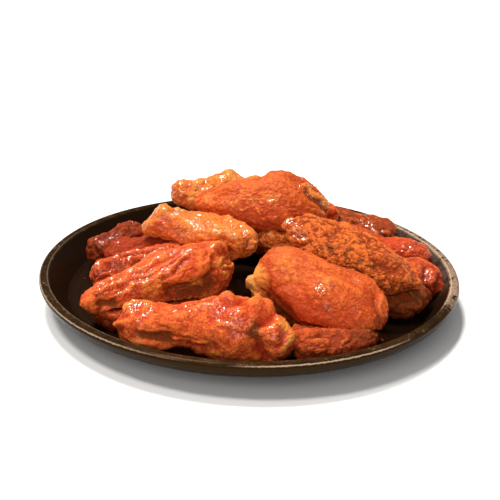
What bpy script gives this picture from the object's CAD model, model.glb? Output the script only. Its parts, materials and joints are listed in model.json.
"""Chicken wings on a dark plate: skins, sauce and the plate's glaze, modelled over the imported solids."""

import json
import math
import random
from dataclasses import dataclass
from functools import partial

import bmesh
import bpy
import numpy as np
from bpy.props import FloatProperty, FloatVectorProperty, IntProperty, PointerProperty
from mathutils import Matrix, Vector, noise


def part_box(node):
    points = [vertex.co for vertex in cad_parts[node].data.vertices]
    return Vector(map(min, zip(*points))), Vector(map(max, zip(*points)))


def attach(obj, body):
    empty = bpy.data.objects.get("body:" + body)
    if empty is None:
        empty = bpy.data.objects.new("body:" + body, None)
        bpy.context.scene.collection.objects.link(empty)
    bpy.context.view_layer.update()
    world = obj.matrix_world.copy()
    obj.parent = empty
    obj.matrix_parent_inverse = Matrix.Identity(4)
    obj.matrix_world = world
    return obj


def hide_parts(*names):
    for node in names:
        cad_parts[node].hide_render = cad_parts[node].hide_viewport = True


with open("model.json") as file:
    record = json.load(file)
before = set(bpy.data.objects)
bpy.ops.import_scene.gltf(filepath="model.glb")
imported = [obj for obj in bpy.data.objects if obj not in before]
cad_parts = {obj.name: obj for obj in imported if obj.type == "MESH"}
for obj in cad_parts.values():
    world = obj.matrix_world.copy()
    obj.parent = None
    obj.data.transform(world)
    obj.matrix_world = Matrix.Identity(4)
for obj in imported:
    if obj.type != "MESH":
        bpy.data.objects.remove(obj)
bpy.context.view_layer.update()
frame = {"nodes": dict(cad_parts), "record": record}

bl_info = {
    "name": "Chicken Wings Serving",
    "version": (1, 0, 0),
    "blender": (4, 5, 0),
    "location": "3D View > Sidebar > Wings",
    "description": "Skins, sauce and plate glaze for a serving of chicken wings",
    "category": "Add Mesh",
}

MM = 0.001
PLATE_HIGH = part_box("plate")[1]
SLOTS = {part["node"]: part["material_slot"] for part in frame["record"]["subparts"]}
MARK_KINDS = ("pale", "brown", "deep", "wet")


# ---------------- Sizes and colours a user would change


class PlateSettings(bpy.types.PropertyGroup):
    turn_steps: IntProperty(name="Turn steps", description="Steps in a full turn", default=200, min=48)
    floor_height: FloatProperty(
        name="Floor height", description="Floor's height over the table", default=5.0 * MM, unit="LENGTH"
    )
    floor_radius: FloatProperty(
        name="Floor radius", description="Radius where the wall starts", default=110.0 * MM, unit="LENGTH"
    )
    lip_width: FloatProperty(
        name="Lip width", description="Width of the flat lip", default=5.6 * MM, unit="LENGTH"
    )
    crumbs: IntProperty(name="Crumbs", description="How many crumbs lie on the plate", default=36, min=0)
    glaze: FloatVectorProperty(
        name="Glaze", description="The dark glaze", subtype="COLOR", default=(0.014, 0.0062, 0.0026)
    )
    bronze: FloatVectorProperty(
        name="Bronze", description="The lip's thin glaze", subtype="COLOR", default=(0.038, 0.018, 0.0055)
    )
    bare: FloatVectorProperty(
        name="Bare clay", description="The worn specks", subtype="COLOR", default=(0.36, 0.235, 0.165)
    )


class SkinSettings(bpy.types.PropertyGroup):
    voxel: FloatProperty(
        name="Grain", description="Size of the mesh's faces", default=0.53 * MM, unit="LENGTH", precision=5
    )
    smoothing: IntProperty(name="Smoothing", description="Passes that ease the form", default=8, min=0)
    pore_depth: FloatProperty(
        name="Pore depth", description="Depth of fine relief", default=1.0 * MM, unit="LENGTH", precision=5
    )


class StageSettings(bpy.types.PropertyGroup):
    key_strength: FloatProperty(name="Key", description="Strength of the key light", default=2.8)
    glint_strength: FloatProperty(name="Glint", description="Strength of the light overhead", default=1.5)
    fill_strength: FloatProperty(name="Fill", description="The fill's power", default=4.5, unit="POWER")
    room_strength: FloatProperty(name="Room", description="Brightness of the room's light", default=0.30)
    mirror_dimming: FloatProperty(
        name="Mirror dimming", description="Share of the room kept out of reflections", default=0.65
    )
    floor_colour: FloatVectorProperty(
        name="Floor", description="Colour of the pale floor", subtype="COLOR", default=(0.93, 0.93, 0.93)
    )


# ---------------- The wings: where each lies, how its skin folds and how it was sauced


@dataclass
class Fold:
    """A ridge, or with a negative height a furrow, through places on the skin.

    A place is a share of the length from the narrow end and an angle round the piece in degrees, where 0 is
    the side and 90 the top. Width and height are in millimetres; one place alone makes a bump or a dimple.
    """

    width: float
    height: float
    places: tuple


@dataclass
class Mark:
    """Where the sauce or the skin differs: pale gristle, brown crust, deep sauce or a wet glint.

    Places and widths are as in a fold, and the strength is 1 for the full effect.
    """

    kind: str
    width: float
    strength: float
    places: tuple


@dataclass
class Skin:
    """One piece of wing; its ends are in millimetres and its roll in degrees.

    Lumps, lobes, wrinkles and crust are the heights of four kinds of relief, in millimetres.
    """

    node: str
    narrow_end: tuple
    broad_end: tuple
    roll: float
    finish: str
    lumps: float = 1.2
    lobes: float = 1.6
    wrinkles: float = 0.7
    crust: float = 0.35
    folds: tuple = ()
    marks: tuple = ()


def fold(width, height, *places):
    return Fold(width, height, places)


def mark(kind, width, strength, *places):
    return Mark(kind, width, strength, places)


def all_over(kind, strength):
    """A mark so wide that it takes in the whole piece."""
    return mark(kind, 400.0, strength, (0.5, 0))


pale, brown, deep, wet = (partial(mark, kind) for kind in MARK_KINDS)

SKINS = (
    Skin(
        "front_drumette", (-76, -83, 19), (26, -95, 19), 0, "sauced_skin", 0.8, 0.7, 0.6, 0.35,
        folds=(
            fold(4.5, 3.6, (0.10, 88), (0.12, 85)),
            fold(4.0, 1.6, (0.19, 92), (0.22, 88)),
            fold(3.0, -1.6, (0.155, 92), (0.15, 115)),
            fold(3.5, -2.0, (0.05, 105), (0.05, 125)),
            fold(3.5, 3.0, (0.01, 150), (0.03, 150)),
            fold(6.0, -3.5, (0.05, -175), (0.09, -165)),
            fold(3.8, -2.4, (0.16, 168), (0.24, 174), (0.33, 172)),
            fold(3.0, 1.8, (0.10, -174), (0.20, -166), (0.33, -162)),
            fold(1.4, 0.8, (0.18, 155), (0.30, 160), (0.47, 160)),
            fold(1.3, -0.8, (0.20, 160), (0.34, 165), (0.48, 166)),
            fold(1.4, 0.8, (0.30, 168), (0.40, 172), (0.52, 170)),
            fold(1.3, -0.7, (0.33, 176), (0.45, 178)),
            fold(4.0, 1.7, (0.62, 90), (0.68, 88)),
            fold(3.6, 2.0, (0.44, 112), (0.56, 104), (0.64, 92)),
            fold(3.2, -2.2, (0.69, 95), (0.62, 112), (0.56, 130)),
            fold(3.0, -2.6, (0.715, 90), (0.72, 80)),
            fold(4.4, 4.4, (0.795, 90), (0.82, 86)),
            fold(3.2, 1.0, (0.845, 86), (0.85, 80)),
            fold(5.5, 1.6, (0.70, 120), (0.76, 118)),
            fold(2.0, -1.2, (0.62, 145), (0.72, 150), (0.79, 146)),
            fold(3.0, -4.8, (0.875, 108), (0.82, 138), (0.81, 160), (0.84, -172), (0.855, -150)),
            fold(5.5, 2.4, (0.92, 105), (0.94, 130)),
            fold(3.0, 1.0, (0.885, 128), (0.875, 150)),
            fold(2.2, -1.8, (0.925, 140), (0.92, 175)),
            fold(4.5, 1.2, (0.955, 165), (0.94, -165)),
            fold(4.5, -2.2, (0.46, -165), (0.56, -172)),
        ),
        marks=(
            brown(4.2, 0.7, (0.17, 168), (0.25, 174), (0.33, 172)),
            deep(9.0, 0.35, (0.60, 115), (0.74, 125)),
            brown(3.2, 0.9, (0.815, 138), (0.80, 152)),
            pale(4.0, 0.6, (0.10, 90), (0.20, 92)),
            pale(4.0, 0.6, (0.74, -178), (0.80, 178)),
            pale(2.0, 0.6, (0.93, 112), (0.925, 150)),
            pale(2.6, 0.9, (0.965, 172), (0.955, -170)),
            wet(5.0, 1.0, (0.42, 104), (0.52, 98), (0.60, 96)),
            wet(4.0, 0.8, (0.88, 140), (0.91, 165)),
            wet(6.0, 0.6, (0.66, 128), (0.74, 140)),
            wet(4.0, 0.6, (0.12, 100), (0.20, 105)),
        ),
    ),
    Skin(
        "left_under_flat", (-92, -56, 11), (-26, -34, 14), 0, "shaded_skin",
        marks=(all_over("deep", 0.6),),
    ),
    Skin(
        "front_under_flat", (24, -91, 14), (74, -70, 13), 0, "shaded_skin", 1.2, 1.4, 0.7, 0.35,
        folds=(
            fold(3.0, -2.0, (0.30, 130), (0.45, 160)),
            fold(4.0, 1.6, (0.55, 125), (0.75, 140)),
        ),
        marks=(deep(14.0, 0.9, (0.65, 150), (1.0, 150)), brown(9.0, 0.5, (0.75, 160), (1.0, 150))),
    ),
    Skin(
        "middle_drumette", (66, -52, 13), (-3, -37, 23), 0, "pale_skin", 1.2, 1.4, 0.8, 0.4,
        folds=(
            fold(10.0, -5.0, (0.99, 10), (0.97, -30)),
            fold(4.0, 3.0, (0.88, 60), (0.92, 50)),
            fold(5.0, 5.0, (0.90, 88), (0.94, 84)),
            fold(2.2, -2.5, (0.93, 30), (0.86, 45)),
            fold(3.0, 2.0, (0.90, 15), (0.82, 25)),
        ),
        marks=(
            pale(8.0, 1.0, (0.90, 40), (0.96, 60), (0.94, 90)),
            brown(6.0, 0.9, (0.60, 10), (0.72, 15)),
        ),
    ),
    Skin(
        "right_under_flat", (52, -16, 15), (109, -34, 15), 0, "shaded_skin", 1.2, 1.8, 0.9, 0.5,
        marks=(all_over("brown", 0.6), all_over("deep", 1.0)),
    ),
    Skin(
        "right_drumette", (42, 12, 16), (121, -12, 18), 0, "red_skin", 0.8, 1.2, 0.6, 0.25,
        folds=(
            fold(2.0, -1.8, (0.86, 110), (0.88, 150), (0.90, -170)),
            fold(2.4, 1.4, (0.91, 110), (0.92, 150), (0.93, -175)),
            fold(2.0, -1.6, (0.955, 100), (0.96, 150), (0.96, -170)),
        ),
        marks=(wet(5.0, 1.0, (0.86, 120), (0.88, 160)), deep(8.0, 0.5, (0.9, 170), (0.95, 180))),
    ),
    Skin(
        "right_back_drumette", (118, 26, 19), (44, 42, 21), 0, "sauced_skin", 1.1, 1.2, 0.9, 0.4,
        marks=(
            all_over("brown", 0.35),
            all_over("deep", 0.5),
            wet(5.0, 1.0, (0.04, 60), (0.14, 80)),
        ),
    ),
    Skin(
        "back_right_flat", (98, 60, 19), (40, 87, 21), 0, "crusted_skin", 1.0, 1.6, 0.7, 0.4,
        folds=(fold(3.0, -2.2, (0.35, 60), (0.45, 20)), fold(3.0, -1.5, (0.65, 70), (0.7, 30))),
        marks=(
            all_over("deep", 0.7),
            brown(12.0, 0.5, (0.2, 0), (0.6, 10)),
            wet(5.0, 0.9, (0.15, 50), (0.30, 60)),
        ),
    ),
    Skin("back_middle_flat", (54, 92, 20), (4, 101, 17), 0, "crusted_skin"),
    Skin("back_under_flat", (-46, 74, 17), (32, 56, 18), 0, "sauced_skin"),
    Skin(
        "far_left_flat", (-103, 24, 15), (-70, 52, 22), -10, "dark_red_skin", 1.0, 1.8, 1.0, 0.5,
        marks=(wet(5.0, 0.7, (0.20, 120), (0.35, 110)),),
    ),
    Skin(
        "left_back_drumette", (-93, 17, 17), (-18, 46, 29), 0, "red_skin", 1.0, 1.2, 0.9, 0.35,
        marks=(
            all_over("deep", 1.3),
            all_over("brown", 0.25),
            wet(2.0, 0.4, (0.10, 90), (0.14, 100)),
        ),
    ),
    Skin(
        "left_flat", (-97, -18, 16), (-23, 9, 25), 0, "red_skin", 1.0, 1.2, 0.9, 0.4,
        folds=(
            fold(4.6, -4.2, (0.17, 108), (0.21, 118)),
            fold(2.8, 2.2, (0.08, 88), (0.12, 78), (0.20, 66), (0.25, 62)),
            fold(2.4, 1.6, (0.24, 80), (0.32, 92), (0.36, 98)),
            fold(1.6, -1.4, (0.04, 125), (0.09, 122)),
            fold(1.6, 1.2, (0.03, 138), (0.09, 134)),
            fold(1.6, -1.2, (0.04, 150), (0.10, 146)),
            fold(1.8, 1.2, (0.30, 68), (0.42, 66), (0.55, 62)),
            fold(1.8, -1.4, (0.32, 82), (0.45, 78), (0.58, 72)),
            fold(1.8, 1.2, (0.36, 92), (0.50, 86), (0.62, 80)),
        ),
        marks=(
            deep(6.0, 1.0, (0.17, 108), (0.21, 118)),
            brown(5.0, 0.7, (0.22, 125), (0.30, 130)),
            wet(5.0, 1.0, (0.26, 100), (0.34, 94), (0.48, 86), (0.60, 80)),
            wet(5.0, 0.8, (0.08, 120), (0.20, 90), (0.30, 76)),
            wet(4.0, 0.7, (0.04, 110), (0.08, 100)),
        ),
    ),
    Skin(
        "left_drumette", (-98, -60, 20), (-9, -19, 32), 0, "sauced_skin", 0.7, 0.6, 0.7, 0.4,
        folds=(
            fold(2.8, 1.6, (0.34, 96), (0.46, 98), (0.56, 88), (0.66, 80)),
            fold(1.9, -1.9, (0.34, 111), (0.46, 111), (0.55, 102), (0.62, 93)),
            fold(2.8, 1.6, (0.30, 122), (0.42, 121), (0.52, 113), (0.62, 102), (0.70, 92)),
            fold(1.9, -2.0, (0.24, 127), (0.36, 131), (0.46, 127), (0.54, 118), (0.62, 108)),
            fold(3.0, 1.4, (0.28, 142), (0.40, 142), (0.52, 132), (0.60, 120), (0.70, 106)),
            fold(1.8, -1.5, (0.46, 145), (0.56, 136), (0.66, 122)),
            fold(1.6, 1.0, (0.10, 105), (0.20, 110), (0.30, 106)),
            fold(5.0, -3.4, (0.52, 178), (0.62, 178), (0.76, -178)),
            fold(1.5, -1.4, (0.55, 170), (0.65, 172), (0.74, 172)),
            fold(4.4, 3.0, (0.72, 160), (0.79, 138)),
            fold(2.6, 1.8, (0.735, 125), (0.74, 118)),
            fold(2.4, -2.4, (0.70, 166), (0.76, 168), (0.80, 160)),
            fold(2.2, -2.0, (0.82, 130), (0.825, 155)),
            fold(5.0, 4.4, (0.86, 98), (0.91, 94)),
            fold(8.0, -3.6, (0.98, 110), (0.98, 150), (0.99, -160)),
            fold(2.4, 2.0, (0.715, 146), (0.72, 141)),
            fold(3.4, -3.6, (0.795, 88), (0.80, 80)),
            fold(1.5, -2.0, (0.88, 150), (0.95, 150)),
            fold(1.5, -2.0, (0.88, 164), (0.95, 166)),
            fold(1.6, 1.4, (0.89, 157), (0.96, 158)),
            fold(3.2, -2.4, (0.10, 176), (0.16, 178)),
            fold(3.0, 2.0, (0.03, 150), (0.05, -175)),
        ),
        marks=(
            brown(6.5, 0.9, (0.54, 180), (0.64, 178), (0.76, -176)),
            brown(4.0, 0.9, (0.10, 176), (0.16, 178)),
            brown(3.0, 0.6, (0.47, 160), (0.49, 162)),
            pale(6.0, 0.9, (0.87, 145), (0.93, 152), (0.90, 175)),
            pale(3.0, 0.9, (0.66, 170), (0.69, 168)),
            pale(5.0, 0.4, (0.36, 170), (0.42, 172)),
            wet(3.6, 1.0, (0.52, 130), (0.57, 127)),
            wet(4.0, 1.0, (0.64, 104), (0.70, 98)),
            wet(3.6, 0.8, (0.54, 92), (0.62, 88)),
            wet(2.6, 0.8, (0.28, 140), (0.36, 138)),
            wet(2.6, 0.7, (0.10, 102), (0.30, 100), (0.42, 102)),
        ),
    ),
    Skin(
        "middle_flat", (4, 17, 34), (72, 36, 27), 0, "pale_skin",
        marks=(all_over("pale", 0.5), wet(5.0, 0.9, (0.3, 120), (0.5, 110))),
    ),
    Skin(
        "upper_left_drumette", (-69, 31, 35), (5, -13, 42), 0, "glossy_skin", 0.8, 1.0, 0.7, 0.5,
        folds=(
            fold(11.0, -3.2, (0.50, 84), (0.78, 88)),
            fold(4.5, 3.0, (0.12, 88), (0.20, 86)),
            fold(4.0, -2.8, (0.07, 112), (0.13, 120)),
            fold(3.4, 1.8, (0.19, 104), (0.24, 98)),
            fold(3.6, -2.2, (0.24, 128), (0.32, 150), (0.38, 172)),
            fold(3.6, 2.0, (0.12, 140), (0.20, 138)),
            fold(4.0, 2.0, (0.40, 112), (0.48, 132), (0.56, 150)),
            fold(3.0, -1.6, (0.36, 130), (0.44, 150), (0.50, 168)),
            fold(3.0, 1.6, (0.70, 148), (0.80, 140), (0.86, 128)),
            fold(2.6, -1.6, (0.80, 160), (0.88, 165)),
            fold(3.0, -1.8, (0.86, 118), (0.92, 100)),
            fold(9.0, -6.0, (0.86, -160), (0.92, -125)),
            fold(3.4, 1.6, (0.90, 150), (0.93, -175)),
        ),
        marks=(
            wet(5.0, 1.0, (0.14, 138), (0.22, 132), (0.26, 126)),
            wet(6.5, 1.0, (0.42, 118), (0.50, 136), (0.58, 148)),
            wet(5.0, 0.9, (0.66, 142), (0.76, 140), (0.82, 136)),
            wet(4.0, 0.9, (0.93, 140), (0.96, 160)),
            deep(6.0, 0.8, (0.24, 150), (0.36, 165)),
            pale(7.0, 0.6, (0.70, 110), (0.84, 105)),
            brown(6.0, 0.5, (0.95, -170), (0.97, -140)),
        ),
    ),
    Skin(
        "front_right_flat", (4, -47, 42), (80, -75, 22), 42, "smooth_skin", 0.8, 0.5, 0.10, 0.32,
        folds=(
            fold(9.0, -4.4, (0.42, 14), (0.62, 18), (0.86, 22)),
            fold(4.0, -1.6, (0.46, 48), (0.66, 44), (0.82, 50)),
            fold(4.2, 1.8, (0.56, 76), (0.68, 66), (0.78, 64)),
            fold(2.4, -1.3, (0.85, 30), (0.885, 55), (0.925, 85), (0.95, 120)),
            fold(2.0, 0.9, (0.90, 28), (0.93, 55), (0.965, 90)),
            fold(3.0, -1.6, (0.14, 150), (0.20, 165)),
            fold(3.0, 2.0, (0.05, 150), (0.10, 160)),
            fold(7.0, -3.0, (0.22, 175), (0.36, 172)),
            fold(3.0, -1.0, (0.20, 100), (0.36, 118), (0.46, 140)),
        ),
        marks=(
            pale(6.0, 0.9, (0.02, 130), (0.10, 165)),
            brown(7.0, 0.8, (0.24, 172), (0.36, 170)),
            brown(5.0, 0.9, (0.93, 60), (0.97, 110)),
            deep(6.0, 0.5, (0.86, 70), (0.92, 100)),
            deep(9.0, 0.6, (0.15, 150), (0.40, 152), (0.75, 142)),
            pale(9.0, 0.25, (0.08, 100), (0.25, 88)),
            pale(7.0, 0.3, (0.55, 82), (0.72, 86)),
            brown(8.0, 0.6, (0.88, 100), (0.97, 130)),
            wet(2.2, 1.0, (0.50, 105), (0.53, 110)),
            wet(2.0, 1.0, (0.57, 92), (0.58, 94)),
            wet(2.0, 1.0, (0.76, 103), (0.77, 106)),
            wet(1.3, 0.8, (0.57, 124), (0.60, 130)),
        ),
    ),
    Skin(
        "upper_right_flat", (22, -14, 51), (104, -34, 30), 22, "crusted_skin", 1.0, 1.2, 0.5, 0.58,
        folds=(
            fold(4.0, 3.4, (0.01, 70), (0.03, 50)),
            fold(6.0, 2.6, (0.12, 42), (0.20, 36)),
            fold(3.0, -1.8, (0.31, 40), (0.33, 70)),
            fold(10.0, -6.2, (0.56, 16), (0.74, 18), (0.92, 40)),
            fold(3.0, -1.4, (0.30, 100), (0.34, 140)),
            fold(4.0, -1.8, (0.52, 60), (0.62, 75), (0.74, 78)),
            fold(5.0, 1.4, (0.62, 105), (0.74, 110)),
            fold(4.0, -1.6, (0.66, 135), (0.80, 140)),
        ),
        marks=(
            brown(6.0, 0.5, (0.34, 122), (0.46, 132)),
            brown(5.0, 0.5, (0.56, 142), (0.66, 146)),
            brown(4.0, 0.3, (0.48, 84), (0.56, 100)),
            deep(9.0, 0.6, (0.74, 120), (0.88, 130)),
            wet(5.0, 0.7, (0.04, 100), (0.08, 130)),
        ),
    ),
    Skin(
        "back_left_drumette", (-55, 78, 41), (22, 66, 42), 0, "glossy_skin", 0.8, 1.0, 0.6, 0.3,
        folds=(
            fold(3.0, -3.2, (0.17, 70), (0.17, 110), (0.165, 150), (0.15, -170)),
            fold(7.0, 4.4, (0.25, 82), (0.42, 78)),
            fold(5.0, 3.6, (0.50, 78), (0.53, 66)),
            fold(3.0, -2.2, (0.455, 84), (0.46, 70)),
            fold(3.4, 1.8, (0.22, 125), (0.26, 128)),
            fold(2.6, -1.8, (0.24, 145), (0.32, 125)),
        ),
        marks=(
            all_over("pale", 0.2),
            wet(4.0, 1.0, (0.04, 110), (0.10, 130)),
            wet(4.0, 0.8, (0.24, 100), (0.36, 100)),
            pale(6.0, 1.0, (0.20, 175), (0.24, -165)),
            pale(4.0, 0.8, (0.48, 95), (0.62, 95)),
            deep(7.0, 0.6, (0.06, 170), (0.10, -170)),
        ),
    ),
    Skin("back_top_drumette", (60, 75, 28), (6, 54, 46), 0, "sauced_skin"),
    Skin(
        "top_flat", (-38, 37, 52.5), (50, 27, 50), 42, "smooth_skin", 0.7, 0.5, 0.04, 0.42,
        folds=(
            fold(8.0, -4.2, (0.08, 40), (0.24, 34), (0.42, 26)),
            fold(5.0, 0.5, (0.63, 32), (0.67, 30)),
            fold(4.0, -2.0, (0.74, 30), (0.79, 34)),
            fold(2.2, -2.0, (0.84, 60), (0.90, 80), (0.955, 108)),
            fold(2.6, 1.8, (0.80, 44), (0.88, 52), (0.95, 70)),
            fold(3.2, 1.6, (0.08, 90), (0.16, 78), (0.26, 66)),
            fold(4.0, -1.0, (0.18, 100), (0.30, 92)),
        ),
        marks=(
            pale(3.6, 0.7, (0.80, 40), (0.88, 48), (0.95, 64)),
            brown(4.0, 0.9, (0.84, 58), (0.90, 74), (0.95, 92)),
            wet(5.0, 1.0, (0.78, 44), (0.88, 50), (0.94, 64)),
            pale(6.0, 0.5, (0.06, 95), (0.12, 110)),
            pale(13.0, 0.36, (0.28, 84), (0.50, 80), (0.66, 84)),
            deep(16.0, 0.35, (0.35, 140), (0.75, 135)),
        ),
    ),
)


# Where drops of sauce lie on the plate and how wide they are, in millimetres.
SAUCE_DROPS = (
    (-96.5, 14.0, 3.2),
    (-100.5, 22.0, 1.4),
    (78.0, -66.0, 1.8),
    (104.0, 30.0, 1.8),
    (-62.0, 84.0, 2.4),
    (-70.0, 74.0, 1.5),
    (-20.0, 104.0, 1.9),
    (76.0, 72.0, 2.1),
)


# ---------------- Mesh helpers


def link_piece(name, mesh, slot_name, material, *nodes):
    """An object for a finished mesh, riding on the one body and standing for its CAD nodes."""
    mesh.materials.clear()
    mesh.materials.append(material)
    piece = bpy.data.objects.new(name, mesh)
    bpy.context.scene.collection.objects.link(piece)
    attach(piece, "root")
    if nodes:
        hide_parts(*nodes)
    return piece


def mesh_from(bm, name):
    """Writes a bmesh into a new smooth-shaded mesh and frees it."""
    mesh = bpy.data.meshes.new(name)
    bm.to_mesh(mesh)
    bm.free()
    mesh.shade_smooth()
    return mesh


def even_skin(node, voxel):
    """The node's form as an even, smooth skin: its triangles joined, rounded and remeshed."""
    bm = bmesh.new()
    bm.from_mesh(frame["nodes"][node].data)
    bmesh.ops.remove_doubles(bm, verts=bm.verts, dist=0.02 * MM)
    base_mesh = mesh_from(bm, f"{node}_base")
    base = bpy.data.objects.new(base_mesh.name, base_mesh)
    bpy.context.scene.collection.objects.link(base)
    rounded = base.modifiers.new("rounded", "SUBSURF")
    rounded.levels = 2
    rounded.render_levels = 2
    even = base.modifiers.new("even", "REMESH")
    even.mode = "VOXEL"
    even.voxel_size = voxel
    graph = bpy.context.evaluated_depsgraph_get()
    mesh = bpy.data.meshes.new_from_object(base.evaluated_get(graph))
    bpy.data.objects.remove(base)
    bpy.data.meshes.remove(base_mesh)
    return mesh


def eased(mesh, passes):
    """Smooths a mesh's small steps."""
    bm = bmesh.new()
    bm.from_mesh(mesh)
    every_way = {"use_axis_x": True, "use_axis_y": True, "use_axis_z": True}
    for _ in range(passes):
        bmesh.ops.smooth_vert(bm, verts=bm.verts, factor=0.5, **every_way)
    bm.to_mesh(mesh)
    bm.free()


def vertex_array(mesh, field):
    values = np.empty(len(mesh.vertices) * 3, np.float32)
    mesh.vertices.foreach_get(field, values)
    return values.reshape(-1, 3)


def float_attribute(mesh, name, values):
    attribute = mesh.attributes.new(name, "FLOAT", "POINT")
    attribute.data.foreach_set("value", np.asarray(values, np.float32))


def neighbour_mean(mesh, values, passes):
    """The values averaged over the mesh's neighbours, several times."""
    edges = np.empty(len(mesh.edges) * 2, np.int32)
    mesh.edges.foreach_get("vertices", edges)
    first, second = edges.reshape(-1, 2).T
    size = len(values)
    count = np.bincount(edges, minlength=size).astype(np.float32)
    for _ in range(passes):
        total = np.bincount(first, values[second], size) + np.bincount(second, values[first], size)
        values = (values + total) / (count + 1)
    return values


# ---------------- Skin relief

# How often each kind of noise repeats along, across and over a piece, in turns a metre.
LUMP_SCALE = (38, 48, 48)
GRAIN_SCALE = (70, 170, 170)
# How far apart two pieces lie in the noise, so that no two are alike.
SEED_STEP = 17.31
# How far folds and marks stray from their lines.
WAVER = 3.2 * MM
# Folds near a piece's long axis are measured at this radius at least.
LEAST_RADIUS = 4 * MM
# How many rings of faces round a point decide if it lies in a hollow.
HOLLOW_REACH = 22


def piece_axes(skin):
    """The middle of the piece's narrow end, its length, and its long, side and up directions."""
    start = Vector(skin.narrow_end) * MM
    reach = Vector(skin.broad_end) * MM - start
    forward = reach.normalized()
    side = Vector((0, 0, 1)).cross(forward).normalized()
    turn = Matrix.Rotation(math.radians(skin.roll), 3, forward)
    return start, reach.length, forward, turn @ side, turn @ forward.cross(side)


def closeness(item, along, around, radius, length):
    """How near each point of the skin is to a fold's or mark's line: 1 on it, falling off over its width."""
    places = [(share * length, math.radians(angle)) for share, angle in item.places]
    nearest = np.full_like(along, np.inf)
    for first, second in zip(places, places[1:] or places):
        turn = (around - first[1] + math.pi) % math.tau - math.pi
        swing = (second[1] - first[1] + math.pi) % math.tau - math.pi
        point = along * length - first[0], turn * radius
        line = second[0] - first[0], swing * radius
        span = np.maximum(line[0] ** 2 + line[1] ** 2, 1e-12)
        share = np.clip((point[0] * line[0] + point[1] * line[1]) / span, 0, 1)
        nearest = np.minimum(nearest, np.hypot(point[0] - line[0] * share, point[1] - line[1] * share))
    gap = nearest / (item.width * MM)
    return np.exp(-gap * gap)


def sculpt_skin(mesh, skin, seed):
    """Presses lumps, lobes, wrinkles, crust and folds into the skin and records its hollows and marks."""
    place = vertex_array(mesh, "co")
    normal = vertex_array(mesh, "normal")
    start, length, forward, side, up = piece_axes(skin)
    local = (place - np.array(start)) @ np.array((forward, side, up)).T
    along = local[:, 0] / length
    around = np.arctan2(local[:, 2], local[:, 1])
    radius = np.maximum(np.hypot(local[:, 1], local[:, 2]), LEAST_RADIUS)
    drift = seed * SEED_STEP
    coarse = [Vector(point) for point in local * LUMP_SCALE + (drift, 0, 0)]
    long_grain = [Vector(point) for point in local * GRAIN_SCALE + (0, drift, 0)]
    lumps = np.array([noise.fractal(p, 1.0, 2.1, 2) for p in coarse])
    lobes = np.array([abs(noise.fractal(p * 1.7, 1.0, 2.0, 3)) for p in coarse])
    patch = np.array([noise.noise(p * 1.3 + Vector((0, 0, 9.1))) for p in coarse])
    grain = np.array([noise.ridged_multi_fractal(p, 0.9, 2.0, 3, 0.9, 1.6) for p in long_grain])
    bumps = np.array([abs(noise.fractal(p * 6.5, 0.9, 2.1, 3)) for p in coarse])
    beads = np.array([noise.noise(p * 17.0) for p in coarse])
    grain = (grain - grain.mean()) * np.clip(0.45 + patch * 1.4, 0.0, 1.3)
    relief = skin.lumps * lumps * 1.5 + skin.lobes * (lobes - lobes.mean()) * 2.2
    relief += skin.wrinkles * grain * 0.55 + skin.crust * (bumps - bumps.mean()) * 1.8
    stray_along = np.array([noise.noise(p * 2.3 + Vector((4.7, 0, 0))) for p in coarse]) * WAVER
    stray_around = np.array([noise.noise(p * 2.3 + Vector((0, 7.9, 0))) for p in coarse]) * WAVER
    where = (along + stray_along / length, around + stray_around / radius, radius, length)
    firmness = np.clip(0.95 + patch * 0.7, 0.6, 1.25)
    for line in skin.folds:
        relief += line.height * firmness * closeness(line, *where)
    masks = {kind: np.zeros_like(along) for kind in MARK_KINDS}
    for spot in skin.marks:
        masks[spot.kind] = np.maximum(masks[spot.kind], spot.strength * closeness(spot, *where))
    relief += beads * (0.16 + 0.34 * masks["wet"])
    place = (place + normal * relief[:, None] * MM).astype(np.float32)
    mesh.vertices.foreach_set("co", place.ravel())
    hollow = neighbour_mean(mesh, relief, HOLLOW_REACH) - relief
    float_attribute(mesh, "hollow", np.clip(hollow * 1.3 + 0.5, 0, 1))
    for kind, values in masks.items():
        float_attribute(mesh, kind, values)
    mesh.update()


# ---------------- Shader helpers and groups


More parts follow.
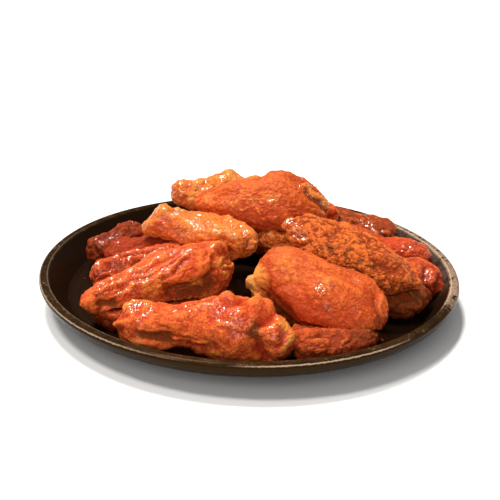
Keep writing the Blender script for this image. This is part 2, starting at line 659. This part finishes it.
class Graph:
    """A node tree with short ways to add nodes and links. Noise scales are in turns a metre."""

    def __init__(self, tree):
        self.tree = tree

    def node(self, kind, settings=None, **inputs):
        """Adds a node; settings are its own properties and inputs are sockets by name, a value or a link."""
        made = self.tree.nodes.new(kind)
        for key, value in (settings or {}).items():
            setattr(made, key, value)
        for key, value in inputs.items():
            self.feed(made.inputs[key.replace("_", " ")], value)
        return made

    def group(self, tree, **inputs):
        return self.node("ShaderNodeGroup", {"node_tree": tree}, **inputs)

    def feed(self, socket, value):
        if isinstance(value, bpy.types.NodeSocket):
            self.tree.links.new(value, socket)
        else:
            socket.default_value = value

    def math(self, operation, first, second=0.0):
        made = self.node("ShaderNodeMath", {"operation": operation})
        self.feed(made.inputs[0], first)
        self.feed(made.inputs[1], second)
        return made.outputs[0]

    def times(self, first, second):
        return self.math("MULTIPLY", first, second)

    def less(self, first, second):
        return self.math("SUBTRACT", first, second)

    def total(self, start, *terms):
        """Adds terms to a start: each a value, its weight and, if given, the middle it is taken from."""
        for value, weight, *middles in terms:
            for middle in middles:
                value = self.less(value, middle)
            start = self.math("ADD", start, self.times(value, weight))
        return start

    def mix(self, factor, first, second, blend="MIX"):
        """Mixes two colours by a mask."""
        made = self.node("ShaderNodeMix", {"data_type": "RGBA", "blend_type": blend})
        self.feed(made.inputs["Factor"], factor)
        self.feed(made.inputs[6], first)
        self.feed(made.inputs[7], second)
        return made.outputs[2]

    def step(self, value, low, high, bottom=0.0, top=1.0):
        """A smooth step of a value from low to high."""
        made = self.node("ShaderNodeMapRange", {"interpolation_type": "SMOOTHSTEP"})
        sockets = ("Value", "From Min", "From Max", "To Min", "To Max")
        for socket, given in zip(sockets, (value, low, high, bottom, top)):
            self.feed(made.inputs[socket], given)
        return made.outputs["Result"]

    def line(self, value, middle, wide, narrow):
        """A soft line where a value passes a middle."""
        return self.step(self.math("ABSOLUTE", self.less(value, middle)), wide, narrow)

    def noise(self, vector, scale, detail=3.0, roughness=0.55, distortion=0.0):
        made = self.node("ShaderNodeTexNoise", Vector=vector, Scale=scale, Detail=detail)
        made.inputs["Roughness"].default_value = roughness
        made.inputs["Distortion"].default_value = distortion
        return made.outputs["Fac"]

    def voronoi(self, vector, scale, feature="F1"):
        made = self.node("ShaderNodeTexVoronoi", {"feature": feature}, Vector=vector, Scale=scale)
        return made.outputs["Distance"]

    def attribute(self, name):
        return self.node("ShaderNodeAttribute", {"attribute_name": name}).outputs["Fac"]

    def place(self):
        return self.node("ShaderNodeTexCoord").outputs["Object"]


def new_group(name, inputs, colours=(), values=()):
    """An empty shader group with named sockets; returns its graph, its inputs and its output node."""
    tree = bpy.data.node_groups.new(name, "ShaderNodeTree")
    kinds = {float: "NodeSocketFloat", tuple: "NodeSocketColor"}
    for label, default in inputs.items():
        socket = tree.interface.new_socket(label, in_out="INPUT", socket_type=kinds[type(default)])
        socket.default_value = default
    for kind, labels in ((tuple, colours), (float, values)):
        for label in labels:
            tree.interface.new_socket(label, in_out="OUTPUT", socket_type=kinds[kind])
    graph = Graph(tree)
    return graph, graph.node("NodeGroupInput").outputs, graph.node("NodeGroupOutput")


def sauce_tone_group():
    """Sauce over fried skin: bright where thin, deep where it gathers, with browned and pale patches."""
    tones = {
        "Thin": (0.8, 0.2, 0.03, 1.0),
        "Thick": (0.5, 0.08, 0.01, 1.0),
        "Browned": (0.2, 0.05, 0.01, 1.0),
        "Pale": (0.8, 0.4, 0.1, 1.0),
    }
    amounts = {"Thickness": 0.5, "Browning": 0.3, "Paleness": 0.2, "Pooling": 1.0, "Flecks": 1.0}
    graph, given, out = new_group("sauce_tone", tones | amounts, colours=("Color",))
    place = graph.place()
    hollow = graph.attribute("hollow")
    gathered = graph.total(
        graph.times(graph.noise(place, 70.0, 4.0, 0.6, 0.6), 0.8),
        (graph.noise(place, 330.0, 3.0, 0.6, 0.4), 0.35),
        (graph.noise(place, 1250.0, 2.0, 0.6), given["Flecks"], 0.5),
        (hollow, given["Pooling"], 0.5),
        (given["Thickness"], 1.0, 0.5),
        (graph.attribute("deep"), 0.7),
    )
    colour = graph.mix(graph.step(gathered, 0.25, 0.90), given["Thin"], given["Thick"])
    browned = graph.total(
        graph.noise(place, 46.0, 5.0, 0.62, 1.0),
        (graph.noise(place, 520.0, 2.0, 0.5), 0.5, 0.5),
        (hollow, 0.25, 0.5),
        (given["Browning"], 1.0),
        (graph.attribute("brown"), 0.45),
    )
    colour = graph.mix(graph.step(browned, 0.84, 1.12, 0.0, 0.85), colour, given["Browned"])
    bald = graph.total(
        graph.noise(place, 80.0, 3.0, 0.45, 0.3),
        (given["Paleness"], 1.0),
        (hollow, -0.25),
        (graph.attribute("pale"), 0.5),
    )
    colour = graph.mix(graph.step(bald, 0.70, 1.06, 0.0, 0.75), colour, given["Pale"])
    glow = graph.step(graph.noise(place, 1500.0, 1.0, 0.5), 0.3, 0.7, 0.84, 1.14)
    shade = graph.node("ShaderNodeCombineColor", Red=glow, Green=glow, Blue=glow)
    graph.feed(out.inputs["Color"], graph.mix(1.0, colour, shade.outputs["Color"], "MULTIPLY"))
    return graph.tree


def skin_relief_group():
    """Fine height of fried skin: creases, pores and crust grains."""
    inputs = {"Creases": 0.5, "Pores": 0.5, "Grains": 0.5}
    graph, given, out = new_group("skin_relief", inputs, values=("Height",))
    place = graph.place()
    crease = graph.math("ABSOLUTE", graph.less(graph.noise(place, 420.0, 4.0, 0.6, 0.8), 0.5))
    grain = graph.times(graph.noise(place, 900.0, 3.0, 0.7), graph.noise(place, 240.0, 2.0, 0.5))
    height = graph.total(
        graph.times(graph.times(crease, 3.0), given["Creases"]),
        (graph.voronoi(place, 1100.0, "SMOOTH_F1"), given["Pores"]),
        (graph.times(grain, 2.0), given["Grains"]),
    )
    graph.feed(out.inputs["Height"], height)
    return graph.tree


def wet_film_group():
    """Where sauce stands wet: a mask for the coat, the roughness under it and the height of its beads."""
    inputs = {"Coverage": 0.5, "Dry": 0.5, "Wet": 0.15}
    graph, given, out = new_group("wet_film", inputs, values=("Film", "Roughness", "Beads"))
    place = graph.place()
    patch = graph.noise(place, 110.0, 4.0, 0.65, 0.5)
    pool = graph.total(patch, (given["Coverage"], 1.0, 0.5), (graph.attribute("wet"), 0.5))
    pool = graph.step(pool, 0.46, 0.60)
    film = graph.times(pool, graph.step(graph.noise(place, 850.0, 2.0, 0.5), 0.42, 0.52, 0.10, 1.0))
    roughness = graph.node("ShaderNodeMix", {"data_type": "FLOAT"})
    for socket, value in ((0, film), (2, given["Dry"]), (3, given["Wet"])):
        graph.feed(roughness.inputs[socket], value)
    graph.feed(out.inputs["Beads"], graph.times(graph.noise(place, 950.0, 1.0, 0.5), pool))
    graph.feed(out.inputs["Film"], film)
    graph.feed(out.inputs["Roughness"], roughness.outputs[0])
    return graph.tree


def crust_speck_group():
    """Small charred specks and pale crumbs of crust."""
    graph, given, out = new_group("crust_specks", {"Amount": 0.3, "Size": 300.0}, values=("Dark", "Light"))
    place = graph.place()
    field = graph.noise(place, 60.0, 3.0, 0.6)
    dark = graph.noise(place, given["Size"], 2.0, 0.5)
    dark = graph.total(dark, (field, given["Amount"]), (graph.attribute("brown"), 0.12))
    light = graph.less(1.0, graph.voronoi(place, given["Size"]))
    light = graph.total(light, (field, given["Amount"]))
    graph.feed(out.inputs["Dark"], graph.step(dark, 0.74, 0.84))
    graph.feed(out.inputs["Light"], graph.step(light, 1.02, 1.16))
    return graph.tree


def worn_glaze_group():
    """Masks on the plate in its own round frame: its lip, the edge lines, and wear that grows to one side."""
    inputs = {"Edge": 0.13, "Top": 0.021, "Lip": 0.0056, "Scale": 700.0}
    names = ("Lip", "Mottle", "Wear", "Inner Line", "Outer Line", "Wall", "Outside", "Front")
    graph, given, out = new_group("worn_glaze", inputs, values=names)
    place = graph.place()
    axes = graph.node("ShaderNodeSeparateXYZ", Vector=place).outputs
    flat = graph.node("ShaderNodeCombineXYZ", X=axes["X"], Y=axes["Y"]).outputs["Vector"]
    reach = graph.node("ShaderNodeVectorMath", {"operation": "LENGTH"}, Vector=flat).outputs["Value"]
    inset = graph.less(given["Edge"], reach)
    depth = graph.less(given["Top"], axes["Z"])
    fine = graph.noise(place, given["Scale"], 4.0, 0.7)
    broad = graph.noise(place, 90.0, 4.0, 0.65)

    def facing(degrees, low, high):
        """How far a place on the rim lies towards one side of the plate."""
        toward = Vector((math.cos(math.radians(degrees)), math.sin(math.radians(degrees)), 0))
        dot = graph.node("ShaderNodeVectorMath", {"operation": "DOT_PRODUCT"}, Vector=flat)
        dot.inputs[1].default_value = toward
        return graph.step(graph.math("DIVIDE", dot.outputs["Value"], reach), low, high)

    def past_lip(extra):
        """A distance from the rim's edge, a little more than the lip's width."""
        return graph.math("ADD", given["Lip"], extra * MM)

    right = facing(14, 0.72, 0.88)
    left = facing(198, 0.55, 0.95)
    on_top = graph.step(depth, 1.6 * MM, 1.0 * MM)
    lip = graph.times(graph.step(inset, past_lip(1.0), past_lip(0.4)), on_top)
    wear = graph.total(fine, (graph.total(graph.times(right, 0.25), (left, 0.02)), 1.0), (broad, 0.4, 0.5))
    whole = graph.less(1.0, graph.step(graph.noise(place, 240.0, 2.0, 0.5), 0.60, 0.64))
    wear = graph.times(graph.step(wear, 0.60, 0.76), whole)
    ragged = graph.total(inset, (fine, 1.2 * MM, 0.5))
    inner_side = graph.math("MAXIMUM", right, graph.times(left, 0.2))
    inner = graph.times(graph.line(ragged, past_lip(-0.4), 0.45 * MM, 0.2 * MM), inner_side)
    front = graph.times(facing(290, 0.90, 0.985), 0.9)
    outer_side = graph.math("MAXIMUM", graph.times(facing(205, 0.60, 0.95), 0.7), front)
    outer = graph.times(graph.line(ragged, 0.65 * MM, 0.4 * MM, 0.1 * MM), outer_side)
    wall = graph.times(graph.step(inset, 21 * MM, 12 * MM), graph.step(inset, past_lip(-0.1), past_lip(1.0)))
    wall = graph.times(graph.times(wall, facing(22, 0.80, 0.97)), graph.step(broad, 0.25, 0.7))
    outside = graph.times(graph.step(depth, 1.0 * MM, 2.2 * MM), graph.step(inset, 3.0 * MM, 2.4 * MM))
    mottle = graph.step(broad, 0.35, 0.65)
    shares = (graph.times(wear, lip), graph.times(inner, lip), graph.times(outer, lip))
    masks = (lip, mottle, *shares, wall, outside, facing(272, 0.55, 0.97))
    for name, mask in zip(names, masks):
        graph.feed(out.inputs[name], mask)
    return graph.tree


@dataclass
class Finish:
    """How one batch of pieces is fried and sauced."""

    thin: tuple
    thick: tuple
    browned: tuple
    pale: tuple
    thickness: float = 0.5
    browning: float = 0.25
    paleness: float = 0.2
    creases: float = 0.5
    pores: float = 0.35
    grains: float = 0.4
    coverage: float = 0.5
    dry: float = 0.48
    wet: float = 0.20
    specks: float = 0.0
    sheen: float = 0.20
    pooling: float = 0.9
    flecks: float = 1.7


CHARRED = (0.055, 0.022, 0.008, 1.0)
SAUCE_DARK = (0.10, 0.012, 0.004, 1.0)
SAUCE_BRIGHT = (0.26, 0.035, 0.008, 1.0)
OUTSIDE_DARK = (0.007, 0.0045, 0.0028, 1.0)
OUTSIDE_WARM = (0.024, 0.0115, 0.0030, 1.0)
WALL_WEAR = (0.200, 0.135, 0.110, 1.0)
OUTER_CLAY = (0.52, 0.36, 0.25, 1.0)
INNER_CLAY = (0.55, 0.42, 0.31, 1.0)

ORANGE = (0.93, 0.176, 0.034)
DEEP = (0.62, 0.061, 0.016)
BROWN = (0.26, 0.064, 0.014)
STRAW = (0.96, 0.35, 0.062)

FINISHES = {
    "sauced_skin": Finish(ORANGE, DEEP, BROWN, STRAW, coverage=0.44),
    "smooth_skin": Finish(
        (0.74, 0.142, 0.023), (0.48, 0.052, 0.011), BROWN, STRAW,
        thickness=0.45, browning=0.14, creases=0.15, pores=0.30, grains=0.30, coverage=0.34, dry=0.42,
        pooling=0.55, flecks=0.9,
    ),
    "glossy_skin": Finish(
        (0.97, 0.280, 0.045), (0.74, 0.115, 0.020), BROWN, STRAW,
        thickness=0.36, browning=0.12, creases=0.3, pores=0.5, grains=0.4, coverage=0.60, dry=0.36,
        pooling=0.6, flecks=1.6,
    ),
    "crusted_skin": Finish(
        (0.88, 0.185, 0.030), (0.36, 0.048, 0.010), (0.17, 0.050, 0.011), STRAW,
        thickness=0.44, browning=0.22, paleness=0.16, creases=0.5, pores=0.6, grains=0.8, coverage=0.36,
        specks=0.08, flecks=1.5,
    ),
    "red_skin": Finish(
        (0.78, 0.125, 0.028), (0.40, 0.036, 0.009), BROWN, STRAW, paleness=0.06, coverage=0.32,
    ),
    "dark_red_skin": Finish(
        (0.38, 0.050, 0.011), (0.18, 0.018, 0.005), (0.10, 0.025, 0.008), STRAW,
        paleness=0.02, browning=0.30, coverage=0.42, creases=0.8, sheen=0.18,
    ),
    "pale_skin": Finish(
        (0.90, 0.22, 0.040), (0.60, 0.090, 0.018), BROWN, (0.90, 0.40, 0.10), paleness=0.20, coverage=0.36,
    ),
    "shaded_skin": Finish((0.60, 0.095, 0.020), (0.30, 0.036, 0.008), BROWN, STRAW, coverage=0.38),
}


def opaque(colour):
    return (*colour, 1.0)


def new_material(name):
    """A material with its graph and its main shader."""
    material = bpy.data.materials.new(name)
    material.use_nodes = True
    return material, Graph(material.node_tree), material.node_tree.nodes["Principled BSDF"]


def skin_material(name, finish, groups, pore_depth):
    """A material for one finish, made of the shared groups with its own values."""
    material, graph, shader = new_material(name)
    tone = graph.group(
        groups["sauce_tone"],
        Thin=opaque(finish.thin),
        Thick=opaque(finish.thick),
        Browned=opaque(finish.browned),
        Pale=opaque(finish.pale),
        Thickness=finish.thickness,
        Browning=finish.browning,
        Paleness=finish.paleness,
        Pooling=finish.pooling,
        Flecks=finish.flecks,
    )
    colour = tone.outputs["Color"]
    if finish.specks:
        specks = graph.group(groups["crust_specks"], Amount=finish.specks).outputs
        colour = graph.mix(specks["Light"], colour, opaque(finish.pale))
        colour = graph.mix(specks["Dark"], colour, CHARRED)
    film = graph.group(groups["wet_film"], Coverage=finish.coverage, Dry=finish.dry, Wet=finish.wet).outputs
    amounts = {"Creases": finish.creases, "Pores": finish.pores, "Grains": finish.grains}
    relief = graph.group(groups["skin_relief"], **amounts).outputs["Height"]
    dryness = graph.less(1.0, graph.times(film["Film"], 0.6))
    height = graph.total(graph.times(relief, dryness), (film["Beads"], 0.8))
    bump = graph.node("ShaderNodeBump", Strength=1.0, Distance=pore_depth, Height=height)
    graph.feed(shader.inputs["Base Color"], colour)
    graph.feed(shader.inputs["Roughness"], film["Roughness"])
    graph.feed(shader.inputs["Coat Weight"], film["Film"])
    graph.feed(shader.inputs["Normal"], bump.outputs["Normal"])
    shader.inputs["Coat Roughness"].default_value = 0.07
    shader.inputs["Coat IOR"].default_value = 1.6
    shader.inputs["Specular IOR Level"].default_value = finish.sheen
    shader.inputs["Specular Tint"].default_value = (1.0, 0.74, 0.50, 1.0)
    shader.inputs["Subsurface Weight"].default_value = 0.07
    shader.inputs["Subsurface Radius"].default_value = (1.0, 0.28, 0.10)
    shader.inputs["Subsurface Scale"].default_value = 2.2 * MM
    return material


def sauce_material(groups):
    """Thin red sauce standing wet on the plate."""
    material, graph, shader = new_material("thin_sauce")
    colour = graph.mix(graph.noise(graph.place(), 420.0), SAUCE_DARK, SAUCE_BRIGHT)
    relief = graph.group(groups["skin_relief"], Creases=0.1, Pores=0.1, Grains=0.1).outputs["Height"]
    bump = graph.node("ShaderNodeBump", Strength=0.3, Distance=0.1 * MM, Height=relief)
    graph.feed(shader.inputs["Base Color"], colour)
    graph.feed(shader.inputs["Normal"], bump.outputs["Normal"])
    shader.inputs["Roughness"].default_value = 0.08
    return material


def plate_material(settings, groups):
    """Dark satin glaze, thin bronze on the lip, and bare clay where the lip and its edges are worn."""
    material, graph, shader = new_material("dark_glaze")
    sizes = {"Edge": PLATE_HIGH.x, "Top": PLATE_HIGH.z, "Lip": settings.lip_width}
    mask = graph.group(groups["worn_glaze"], **sizes).outputs
    outside = graph.mix(mask["Front"], OUTSIDE_DARK, OUTSIDE_WARM)
    bronze = graph.mix(mask["Mottle"], opaque([c * 0.5 for c in settings.bronze]), opaque(settings.bronze))
    colour = opaque(settings.glaze)
    for name, share, tone in (
        ("Outside", 0.9, outside),
        ("Wall", 0.55, WALL_WEAR),
        ("Lip", 1.0, bronze),
        ("Wear", 0.85, opaque(settings.bare)),
        ("Outer Line", 0.9, OUTER_CLAY),
        ("Inner Line", 0.8, INNER_CLAY),
    ):
        colour = graph.mix(graph.times(mask[name], share), colour, tone)
    place = graph.place()
    height = graph.total(graph.noise(place, 420.0, 3.0, 0.6), (graph.noise(place, 60.0), 2.0))
    bump = graph.node("ShaderNodeBump", Strength=0.6, Distance=0.12 * MM, Height=height)
    graph.feed(shader.inputs["Base Color"], colour)
    graph.feed(shader.inputs["Roughness"], graph.total(0.24, (mask["Wear"], 0.3)))
    graph.feed(shader.inputs["Normal"], bump.outputs["Normal"])
    shader.inputs["Specular IOR Level"].default_value = 0.07
    shader.inputs["Specular Tint"].default_value = (1.0, 0.52, 0.24, 1.0)
    return material


def floor_material(settings):
    """Plain pale floor."""
    material, _, shader = new_material("pale_floor")
    shader.inputs["Base Color"].default_value = opaque(settings.floor_colour)
    shader.inputs["Roughness"].default_value = 0.9
    shader.inputs["Specular IOR Level"].default_value = 0.0
    return material


GROUP_MAKERS = {
    "sauce_tone": sauce_tone_group,
    "skin_relief": skin_relief_group,
    "wet_film": wet_film_group,
    "crust_specks": crust_speck_group,
    "worn_glaze": worn_glaze_group,
}


def shader_groups():
    """The shared groups by name, each made once."""
    return {name: bpy.data.node_groups.get(name) or make() for name, make in GROUP_MAKERS.items()}


# ---------------- Operators

# How much larger the faces are in a quick trial.
# The crumbs' chance numbers, the ring of the plate's floor that they lie in and the depth of their relief.
SCATTER_SEED = 11
CRUMB_RING = (80.0 * MM, 107.0 * MM)
CRUMB_RELIEF = 0.2 * MM
# The pale floor reaches this far each way and lies this far under the plate's foot.
FLOOR_REACH = 6.0
FLOOR_GAP = 0.2 * MM


class WINGS_OT_plate(bpy.types.Operator):
    """Turn the plate's section and glaze it"""

    bl_idname = "wings.plate"
    bl_label = "Plate"

    def execute(self, context):
        settings = context.scene.wings_plate
        bm = bmesh.new()
        section = [bm.verts.new((radius, 0, height)) for radius, height in self.section(settings)]
        for pair in zip(section, section[1:]):
            bm.edges.new(pair)
        bmesh.ops.bevel(
            bm, geom=section[2:-2], offset=0.5 * MM, segments=3, profile=0.5, affect="VERTICES", material=-1
        )
        bmesh.ops.spin(
            bm,
            geom=bm.verts[:] + bm.edges[:],
            cent=(0, 0, 0),
            axis=(0, 0, 1),
            angle=math.tau,
            steps=settings.turn_steps,
            use_merge=True,
        )
        bmesh.ops.remove_doubles(bm, verts=bm.verts, dist=0.01 * MM)
        bmesh.ops.recalc_face_normals(bm, faces=bm.faces)
        self.unevenness(bm)
        glaze = plate_material(settings, shader_groups())
        link_piece("glazed_plate", mesh_from(bm, "glazed_plate"), "dark_glaze", glaze, "plate")
        return {"FINISHED"}

    @staticmethod
    def unevenness(bm):
        """Lifts and lowers the plate very slightly towards its rim, and leaves its foot flat."""
        foot_height = 1.5 * MM
        for vert in bm.verts:
            x, y, height = vert.co
            if height > foot_height:
                reach = min(1.0, math.hypot(x, y) / PLATE_HIGH.x)
                vert.co.z += noise.noise(Vector((x * 14, y * 14, 3.0))) * 0.25 * MM * reach

    @staticmethod
    def section(settings):
        """The plate's section from the middle of its floor over the lip and down to its foot."""
        edge = PLATE_HIGH.x
        top = PLATE_HIGH.z
        lip = edge - settings.lip_width
        floor = settings.floor_height
        wall = settings.floor_radius
        foot = 86.0 * MM
        recess = 1.2 * MM
        return (
            (0, floor),
            (wall * 0.5, floor),
            (wall - 4.2 * MM, floor),
            (wall - 3.6 * MM, floor + 0.35 * MM),
            (wall, floor + 0.4 * MM),
            (wall + 3.2 * MM, floor + 1.7 * MM),
            (lip - 1.6 * MM, top - 2.0 * MM),
            (lip, top - 0.1 * MM),
            (lip + 3.9 * MM, top),
            (edge - 0.4 * MM, top - 1.0 * MM),
            (edge, top - 2.6 * MM),
            (edge - 1.0 * MM, top - 5.0 * MM),
            (edge - 3.6 * MM, top - 8.6 * MM),
            (edge - 13.0 * MM, top - 14.2 * MM),
            (wall - 6.0 * MM, top - 18.4 * MM),
            (foot + 1.5 * MM, recess),
            (foot, 0),
            (foot - 8.0 * MM, 0),
            (foot - 9.5 * MM, recess),
            (40.0 * MM, recess),
            (0, recess),
        )


class WINGS_OT_skins(bpy.types.Operator):
    """Give every piece of wing its fried, sauced skin"""

    bl_idname = "wings.skins"
    bl_label = "Wing skins"

    def execute(self, context):
        settings = context.scene.wings_skin
        groups = shader_groups()
        depth = settings.pore_depth
        materials = {name: skin_material(name, finish, groups, depth) for name, finish in FINISHES.items()}
        voxel = settings.voxel * 1.0
        for seed, skin in enumerate(SKINS):
            mesh = even_skin(skin.node, voxel)
            eased(mesh, settings.smoothing)
            sculpt_skin(mesh, skin, seed)
            mesh.shade_smooth()
            finish = materials[skin.finish]
            link_piece(f"{skin.node}_skin", mesh, SLOTS[skin.node], finish, skin.node)
        return {"FINISHED"}


class WINGS_OT_scatter(bpy.types.Operator):
    """Scatter crumbs and drops of sauce on the plate's floor"""

    bl_idname = "wings.scatter"
    bl_label = "Crumbs and drops"

    def execute(self, context):
        settings = context.scene.wings_plate
        floor = settings.floor_height
        chance = random.Random(SCATTER_SEED)
        crumbs = bmesh.new()
        for _ in range(settings.crumbs):
            reach, turn = chance.uniform(*CRUMB_RING), chance.uniform(0, math.tau)
            size = chance.uniform(0.3, 0.7) * MM
            stretch = Vector((size, size * chance.uniform(0.6, 1.0), size * chance.uniform(0.5, 0.8)))
            place = Vector((reach * math.cos(turn), reach * math.sin(turn), floor + stretch.z * 0.7))
            self.lump(crumbs, 2, place, stretch, chance.uniform(0, math.tau), 0.35)
        drops = bmesh.new()
        for x, y, size in SAUCE_DROPS:
            place = Vector((x * MM, y * MM, floor + 0.2 * MM))
            stretch = Vector((size, size * 0.72, min(size * 0.45, 1.4))) * MM
            self.lump(drops, 3, place, stretch, chance.uniform(0, math.tau), 0.12)
        groups = shader_groups()
        crumb = skin_material("crumb", FINISHES["dark_red_skin"], groups, CRUMB_RELIEF)
        link_piece("crumbs", mesh_from(crumbs, "crumbs"), "dark_red_skin", crumb)
        link_piece("sauce_drops", mesh_from(drops, "sauce_drops"), "red_skin", sauce_material(groups))
        return {"FINISHED"}

    @staticmethod
    def lump(bm, rounds, place, stretch, turn, roughness):
        """Adds one uneven lump: a small round shape pulled about, stretched and set in its place."""
        made = bmesh.ops.create_icosphere(bm, subdivisions=rounds, radius=1.0)["verts"]
        for vert in made:
            vert.co *= 1 + roughness * noise.noise(vert.co * 1.7 + place * 900)
        bmesh.ops.scale(bm, verts=made, vec=stretch)
        bmesh.ops.rotate(bm, verts=made, cent=(0, 0, 0), matrix=Matrix.Rotation(turn, 3, "Z"))
        bmesh.ops.translate(bm, verts=made, vec=place)


class WINGS_OT_stage(bpy.types.Operator):
    """Lay the pale floor and set the lights and the camera"""

    bl_idname = "wings.stage"
    bl_label = "Stage"

    def execute(self, context):
        settings = context.scene.wings_stage
        scene = context.scene
        bm = bmesh.new()
        bmesh.ops.create_grid(bm, x_segments=2, y_segments=2, size=FLOOR_REACH)
        bmesh.ops.translate(bm, verts=bm.verts, vec=(0, 0, -FLOOR_GAP))
        floor = bpy.data.objects.new("pale_floor", mesh_from(bm, "pale_floor"))
        floor.data.materials.append(floor_material(settings))
        scene.collection.objects.link(floor)
        for name, kind, place, spread, colour in (
            ("key", "SUN", (-0.22, 0.42, 1.1), math.radians(11), (1.0, 0.95, 0.88)),
            ("glint", "SUN", (-0.34, -0.05, 0.90), math.radians(13), (1.0, 0.97, 0.93)),
            ("fill", "AREA", (-0.25, -1.0, 0.5), 0.9, (1.0, 0.98, 0.96)),
        ):
            self.light(scene, name, kind, place, getattr(settings, f"{name}_strength"), spread, colour)
        self.room(scene, settings)
        self.camera(scene)
        return {"FINISHED"}

    @staticmethod
    def light(scene, name, kind, place, strength, spread, colour):
        """A light aimed at the plate; the spread is a sun's angle or an area's size."""
        lamp = bpy.data.lights.new(name, kind)
        lamp.energy = strength
        lamp.color = colour
        setattr(lamp, "angle" if kind == "SUN" else "size", spread)
        obj = bpy.data.objects.new(name, lamp)
        obj.location = place
        obj.rotation_euler = (-Vector(place)).to_track_quat("-Z", "Y").to_euler()
        scene.collection.objects.link(obj)

    @staticmethod
    def room(scene, settings):
        """An even white room, dimmer where it is seen in a reflection."""
        world = bpy.data.worlds.new("room")
        world.use_nodes = True
        background = world.node_tree.nodes["Background"]
        background.inputs["Color"].default_value = (1.0, 1.0, 1.0, 1.0)
        graph = Graph(world.node_tree)
        mirrored = graph.node("ShaderNodeLightPath").outputs["Is Glossy Ray"]
        dimmer = graph.less(1.0, graph.times(mirrored, settings.mirror_dimming))
        graph.feed(background.inputs["Strength"], graph.times(dimmer, settings.room_strength))
        scene.world = world
        scene.view_settings.view_transform = "Standard"

    @staticmethod
    def camera(scene):
        """A long lens a little over 22 degrees above the table, tipped very slightly."""
        lens = bpy.data.cameras.new("camera")
        lens.lens = 85.0
        lens.sensor_width = 36.0
        lens.clip_end = 50.0
        rise = math.radians(22.7)
        tilt = math.radians(1.47)
        reach = 0.7683
        aim = Vector((0, 0.0295, 0.020))
        back = Vector((0, -math.cos(rise), math.sin(rise)))
        upright = (-back).to_track_quat("-Z", "Y").to_matrix().to_4x4()
        camera = bpy.data.objects.new("camera", lens)
        camera.matrix_world = Matrix.Translation(aim + back * reach) @ upright @ Matrix.Rotation(tilt, 4, "Z")
        scene.collection.objects.link(camera)
        scene.camera = camera


class WINGS_PT_panel(bpy.types.Panel):
    """The serving's sizes, colours and steps"""

    bl_idname = "WINGS_PT_panel"
    bl_label = "Wings"
    bl_space_type = "VIEW_3D"
    bl_region_type = "UI"
    bl_category = "Wings"

    def draw(self, context):
        layout = self.layout
        for title, settings, steps in (
            ("Plate", context.scene.wings_plate, ("wings.plate", "wings.scatter")),
            ("Skins", context.scene.wings_skin, ("wings.skins",)),
            ("Stage", context.scene.wings_stage, ("wings.stage",)),
        ):
            box = layout.box()
            box.label(text=title)
            for key in settings.__annotations__:
                box.prop(settings, key)
            for step in steps:
                box.operator(step)


CLASSES = (
    PlateSettings,
    SkinSettings,
    StageSettings,
    WINGS_OT_plate,
    WINGS_OT_skins,
    WINGS_OT_scatter,
    WINGS_OT_stage,
    WINGS_PT_panel,
)
SETTINGS = {"wings_plate": PlateSettings, "wings_skin": SkinSettings, "wings_stage": StageSettings}


def register():
    for cls in CLASSES:
        bpy.utils.register_class(cls)
    for name, group in SETTINGS.items():
        setattr(bpy.types.Scene, name, PointerProperty(type=group))


def unregister():
    for name in SETTINGS:
        delattr(bpy.types.Scene, name)
    for cls in reversed(CLASSES):
        bpy.utils.unregister_class(cls)


def main():
    register()
    bpy.ops.wings.stage()
    bpy.ops.wings.plate()
    bpy.ops.wings.skins()
    bpy.ops.wings.scatter()


if __name__ == "__main__":
    main()
